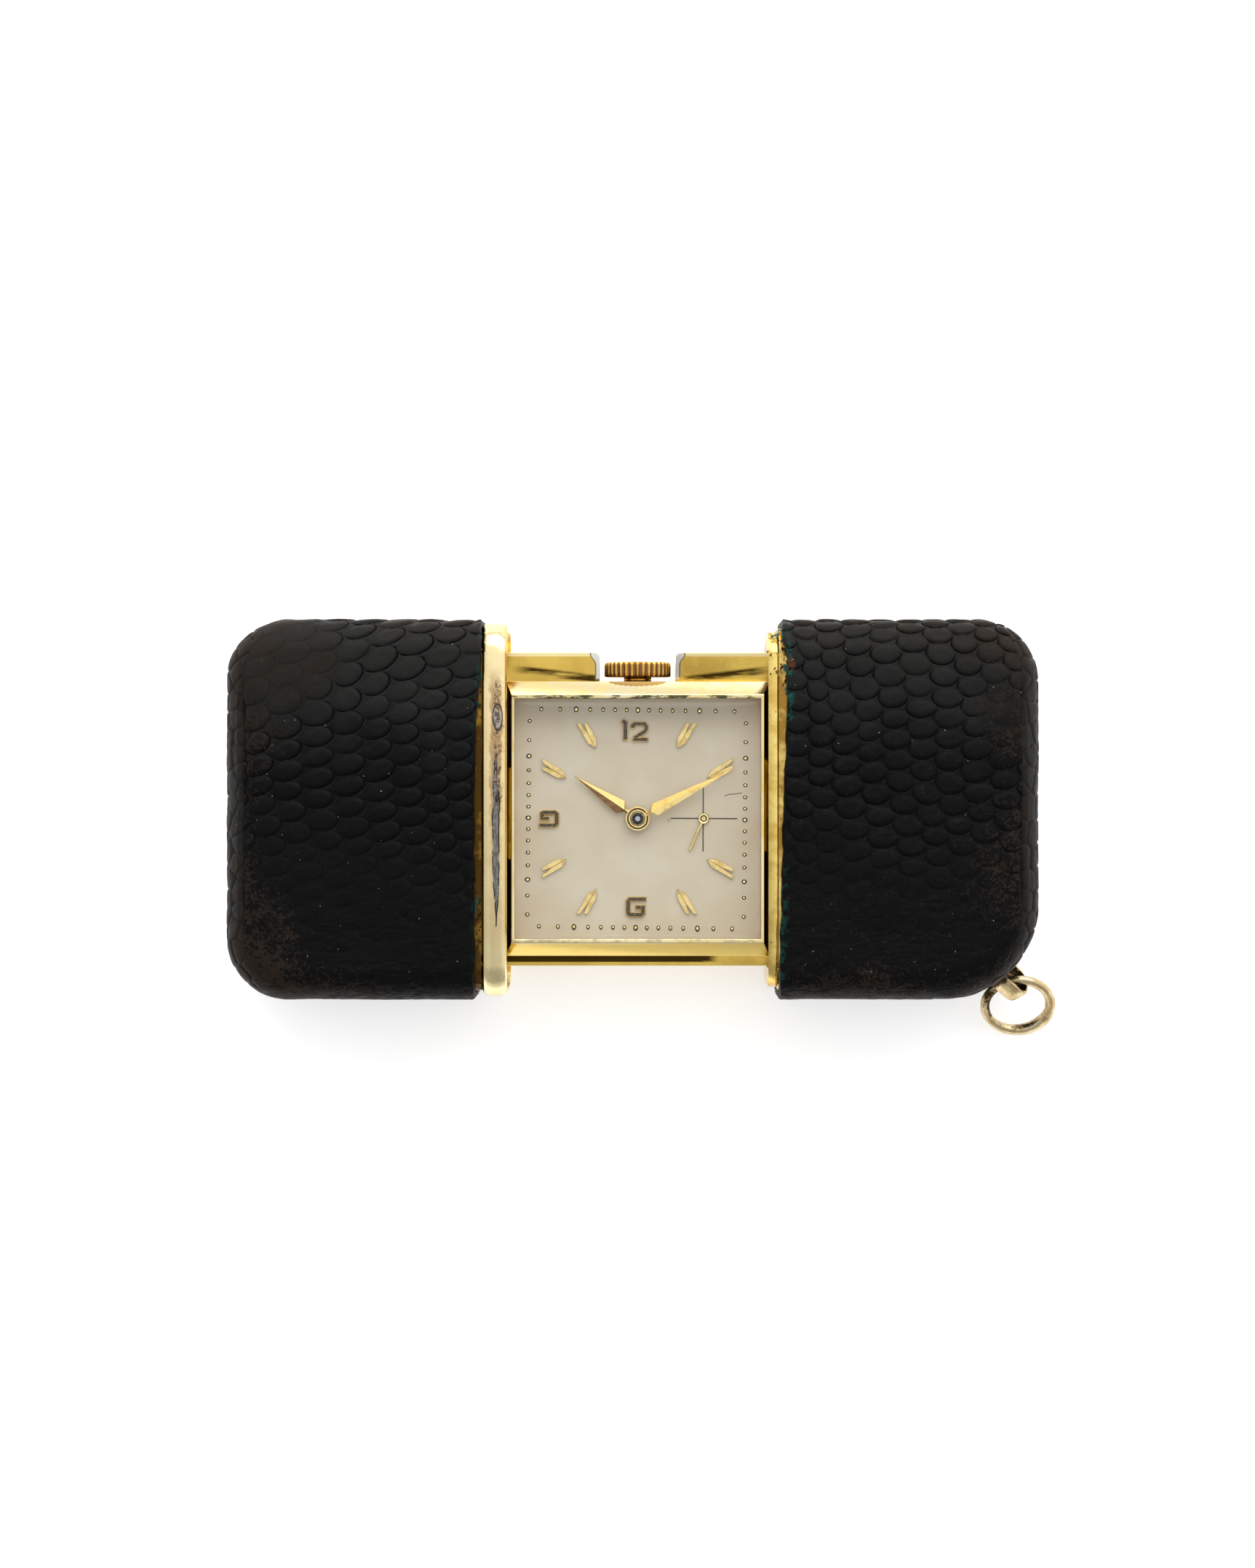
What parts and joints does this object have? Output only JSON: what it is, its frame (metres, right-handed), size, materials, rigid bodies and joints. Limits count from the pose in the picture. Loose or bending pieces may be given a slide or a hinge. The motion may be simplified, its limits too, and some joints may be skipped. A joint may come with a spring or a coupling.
{
  "type": "travel clock",
  "caption": "Pocket travel clock: two leather covers slide apart on a gilt carriage and show a square watch dial; easel strut behind, ring at one corner.",
  "frame": {"origin": "middle of the carriage's back face, on the axis of the minute hand", "axes": "+X to the right of the dial along the covers' travel, +Y to twelve, +Z out of the dial; the clock lies on its back with its covers open"},
  "size_m": [0.0725, 0.0366, 0.015],
  "materials": {
    "gilt": "gilt, worn and tarnished",
    "applied_gilt": "gilt, polished",
    "brass": "brushed brass",
    "nickel": "nickel plate",
    "steel": "polished steel",
    "blued_steel": "blued",
    "leather": "black lizard grain, worn",
    "dial_paint": "matt cream",
    "crystal": "clear, domed"
  },
  "bodies": {
    "carriage": {"carriage_frame": "gilt", "back_plate": "gilt", "strut_pin": "steel", "left_friction_spring": "steel", "right_friction_spring": "steel", "case_band": "gilt", "watch_back": "nickel", "bezel": "gilt", "crystal": "crystal", "dial": "dial_paint", "marker_1": "applied_gilt", "marker_2": "applied_gilt", "marker_4": "applied_gilt", "marker_5": "applied_gilt", "marker_7": "applied_gilt", "marker_8": "applied_gilt", "marker_10": "applied_gilt", "marker_11": "applied_gilt", "numeral_one": "applied_gilt", "numeral_two": "applied_gilt", "numeral_six": "applied_gilt", "numeral_nine": "applied_gilt", "main_plate": "nickel", "barrel_bridge": "nickel", "train_bridge": "nickel", "balance_cock": "nickel"},
    "right_cover": {"right_leather": "leather", "right_liner": "gilt", "right_rim": "gilt", "right_rack": "steel", "bail": "gilt"},
    "left_cover": {"left_leather": "leather", "left_liner": "gilt", "left_bead": "gilt", "left_rack": "steel"},
    "ring": {"chain_ring": "gilt"},
    "strut": {"strut": "gilt"},
    "cover_pinion": {"rack_pinion": "steel"},
    "winding_stem": {"clutch_wheel": "steel"},
    "crown": {"stem": "steel", "crown": "gilt"},
    "crown_wheel": {"crown_wheel": "steel"},
    "ratchet": {"ratchet_wheel": "steel", "barrel_arbor": "steel"},
    "minute": {"center_wheel": "brass", "cannon_pinion": "steel", "minute_hand": "applied_gilt"},
    "minute_wheel": {"minute_wheel": "brass"},
    "hour": {"hour_wheel": "brass", "hour_hand": "applied_gilt"},
    "third": {"third_wheel": "brass"},
    "seconds": {"fourth_wheel": "brass", "seconds_hand": "applied_gilt"},
    "barrel": {"barrel": "brass", "mainspring": "steel"},
    "escape": {"escape_wheel": "steel"},
    "pallets": {"pallet_fork": "steel"},
    "balance": {"balance_wheel": "brass", "hairspring": "blued_steel"}
  },
  "joints": [
    {"name": "right_cover_slide", "type": "slide", "parent": "carriage", "child": "right_cover", "axis": [1, 0, 0], "range_m": [-0.01162, 0]},
    {"name": "left_cover_slide", "type": "slide", "parent": "carriage", "child": "left_cover", "axis": [-1, 0, 0], "range_m": [-0.01162, 0]},
    {"name": "cover_pinion_turn", "type": "hinge", "parent": "carriage", "child": "cover_pinion", "pos_m": [0, 0, 0.0021], "axis": [0, 0, 1], "range_deg": [-222, 0]},
    {"name": "strut_hinge", "type": "hinge", "parent": "carriage", "child": "strut", "pos_m": [0, 0.0102, 0.0006], "axis": [1, 0, 0], "range_deg": [0, 45]},
    {"name": "ring_swing", "type": "hinge", "parent": "right_cover", "child": "ring", "pos_m": [0.03287, -0.01436, 0.00233], "axis": [0.9659, 0.204, 0.1593], "range_deg": [-115, 50]},
    {"name": "crown_turn", "type": "hinge", "parent": "carriage", "child": "winding_stem", "pos_m": [0, 0.00775, 0.0055], "axis": [0, 1, 0], "continuous": true},
    {"name": "crown_pull", "type": "slide", "parent": "winding_stem", "child": "crown", "axis": [0, 1, 0], "range_m": [0, 0.00055]},
    {"name": "crown_wheel_turn", "type": "hinge", "parent": "carriage", "child": "crown_wheel", "pos_m": [0, 0.0058, 0.00347], "axis": [0, 0, 1], "continuous": true},
    {"name": "ratchet_turn", "type": "hinge", "parent": "carriage", "child": "ratchet", "pos_m": [-0.0044, 0.00305, 0.00347], "axis": [0, 0, 1], "continuous": true},
    {"name": "minute_turn", "type": "hinge", "parent": "carriage", "child": "minute", "pos_m": [0, 0, 0.006], "axis": [0, 0, 1], "continuous": true},
    {"name": "minute_wheel_turn", "type": "hinge", "parent": "carriage", "child": "minute_wheel", "pos_m": [-0.00198, -0.00136, 0.0076], "axis": [0, 0, 1], "continuous": true},
    {"name": "hour_turn", "type": "hinge", "parent": "carriage", "child": "hour", "pos_m": [0, 0, 0.0085], "axis": [0, 0, 1], "continuous": true},
    {"name": "third_turn", "type": "hinge", "parent": "carriage", "child": "third", "pos_m": [0.00326, -0.00283, 0.0055], "axis": [0, 0, 1], "continuous": true},
    {"name": "seconds_turn", "type": "hinge", "parent": "carriage", "child": "seconds", "pos_m": [0.0057, 0, 0.0062], "axis": [0, 0, 1], "continuous": true},
    {"name": "barrel_turn", "type": "hinge", "parent": "carriage", "child": "barrel", "pos_m": [-0.0044, 0.00305, 0.0058], "axis": [0, 0, 1], "continuous": true},
    {"name": "escape_turn", "type": "hinge", "parent": "carriage", "child": "escape", "pos_m": [0.00705, -0.00254, 0.0055], "axis": [0, 0, 1], "continuous": true},
    {"name": "pallets_rock", "type": "hinge", "parent": "carriage", "child": "pallets", "pos_m": [0.00653, -0.00499, 0.0055], "axis": [0, 0, 1], "range_deg": [-4, 4]},
    {"name": "balance_swing", "type": "hinge", "parent": "carriage", "child": "balance", "pos_m": [0.0005, -0.0062, 0.0055], "axis": [0, 0, 1], "range_deg": [-135, 135], "stiffness_Nm_per_rad": 0.000001}
  ],
  "couplings": [
    {"joint": "left_cover_slide", "follows": "right_cover_slide", "ratio": 1},
    {"joint": "cover_pinion_turn", "follows": "right_cover_slide", "rad_per_m": 333.33},
    {"joint": "crown_wheel_turn", "follows": "crown_turn", "ratio": 0.5},
    {"joint": "ratchet_turn", "follows": "crown_turn", "ratio": -0.4},
    {"joint": "minute_wheel_turn", "follows": "minute_turn", "ratio": -0.33333},
    {"joint": "hour_turn", "follows": "minute_turn", "ratio": 0.083333},
    {"joint": "third_turn", "follows": "minute_turn", "ratio": -8},
    {"joint": "seconds_turn", "follows": "minute_turn", "ratio": 60},
    {"joint": "barrel_turn", "follows": "minute_turn", "ratio": -0.16667},
    {"joint": "escape_turn", "follows": "minute_turn", "ratio": -420}
  ]
}
